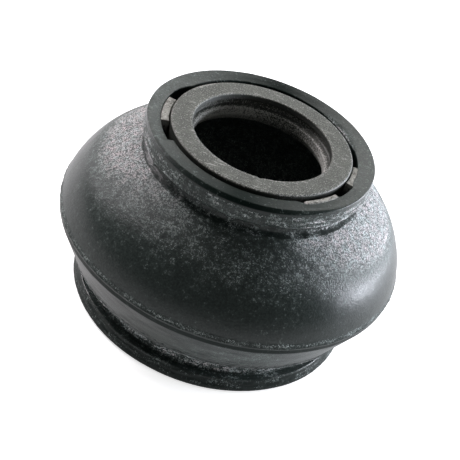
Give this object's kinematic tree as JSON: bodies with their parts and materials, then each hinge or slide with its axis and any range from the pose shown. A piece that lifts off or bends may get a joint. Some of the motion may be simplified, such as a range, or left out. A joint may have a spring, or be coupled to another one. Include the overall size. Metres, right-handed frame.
{
  "type": "tie rod end dust boot",
  "caption": "Round rubber dust boot for a tie rod end, with a clamped large end, a flexing dome and a steel-reinforced collar that seals on the ball stud.",
  "frame": {"origin": "centre of the large end's bottom face", "axes": "+Z along the stud's axis from the large end to the collar; the two steel tabs lie on +X and -X"},
  "size_m": [0.042, 0.042, 0.0242],
  "materials": {
    "cover_rubber": "moulded black-green rubber with a pale powdery bloom",
    "seal_rubber": "smooth worn grey face with fine scratches",
    "insert_steel": "dull pressed steel with dust"
  },
  "bodies": {
    "large_end": {"large_end_bead": "cover_rubber"},
    "belly": {"lower_wall": "cover_rubber"},
    "shoulder": {"upper_wall": "cover_rubber"},
    "collar": {"crown_wall": "cover_rubber", "collar_neck": "cover_rubber", "dust_lip": "cover_rubber", "seal_ring": "seal_rubber", "steel_insert": "insert_steel"}
  },
  "joints": [
    {"name": "swing_x", "type": "hinge", "parent": "large_end", "child": "belly", "pos_m": [0, 0, -0.003], "axis": [1, 0, 0], "range_deg": [-12, 12], "stiffness_Nm_per_rad": 0.1, "deforming": ["lower_wall"]},
    {"name": "swing_y", "type": "hinge", "parent": "belly", "child": "shoulder", "pos_m": [0, 0, -0.003], "axis": [0, 1, 0], "range_deg": [-12, 12], "stiffness_Nm_per_rad": 0.1, "deforming": ["upper_wall"]},
    {"name": "press_down", "type": "slide", "parent": "shoulder", "child": "collar", "axis": [0, 0, -1], "range_m": [0, 0.0015], "stiffness_N_per_m": 800, "deforming": ["crown_wall"]}
  ]
}
